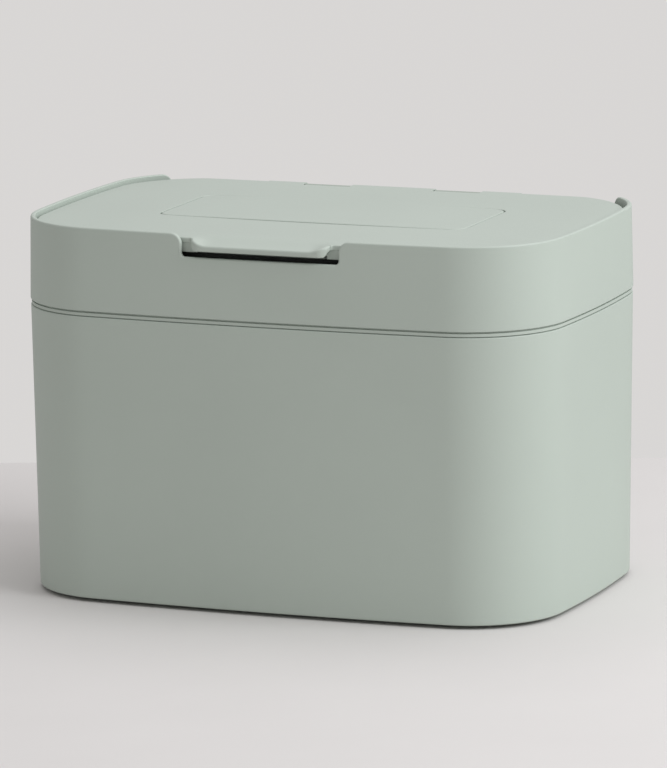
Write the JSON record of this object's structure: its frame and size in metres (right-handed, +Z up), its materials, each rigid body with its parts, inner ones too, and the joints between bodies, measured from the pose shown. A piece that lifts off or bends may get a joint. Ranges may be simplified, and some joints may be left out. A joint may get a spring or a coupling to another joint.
{
  "type": "bread bin",
  "caption": "Free-standing bread bin with a tapered body, an upper collar, a hinged lid set down inside the collar, and a vent under a lift-out cover.",
  "frame": {"origin": "bottom centre of the bin, on the surface that its four feet stand on", "axes": "+Z up, front with the finger tab towards -Y, the bin's long side along X"},
  "size_m": [0.3606, 0.2482, 0.2397],
  "materials": {
    "shell": "fine matte moulded finish, sage green",
    "seam": "matte soft plastic, sage green",
    "inner": "satin moulded plastic, a darker sage",
    "rack": "satin moulded plastic, pale sage",
    "filter": "black carbon felt",
    "rubber": "matte dark grey elastomer",
    "steel": "plain stainless steel"
  },
  "bodies": {
    "bin": {"bin_body": "shell", "seam_ring": "seam", "collar": "shell", "hinge_block_left": "inner", "hinge_block_right": "inner", "hinge_screws": "steel", "lid_stop_pads": "rubber", "foot_front_left": "rubber", "foot_front_right": "rubber", "foot_back_left": "rubber", "foot_back_right": "rubber"},
    "lid": {"lid": "shell", "lid_liner": "inner", "liner_screws": "steel", "lid_seal": "rubber", "vent_filter": "filter", "filter_frame": "inner", "hinge_pin_left": "steel", "hinge_pin_right": "steel"},
    "vent_cover": {"vent_cover": "shell"},
    "rack": {"bread_rack": "rack"}
  },
  "joints": [
    {"name": "lid_hinge", "type": "hinge", "parent": "bin", "child": "lid", "pos_m": [0, 0.1066, 0.2328], "axis": [-1, 0, 0], "range_deg": [0, 100]},
    {"name": "vent_cover_lift", "type": "slide", "parent": "lid", "child": "vent_cover", "axis": [0, 0, 1], "range_m": [0, 0.012]},
    {"name": "rack_lift", "type": "slide", "parent": "bin", "child": "rack", "axis": [0, 0, 1], "range_m": [0, 0.19]}
  ]
}
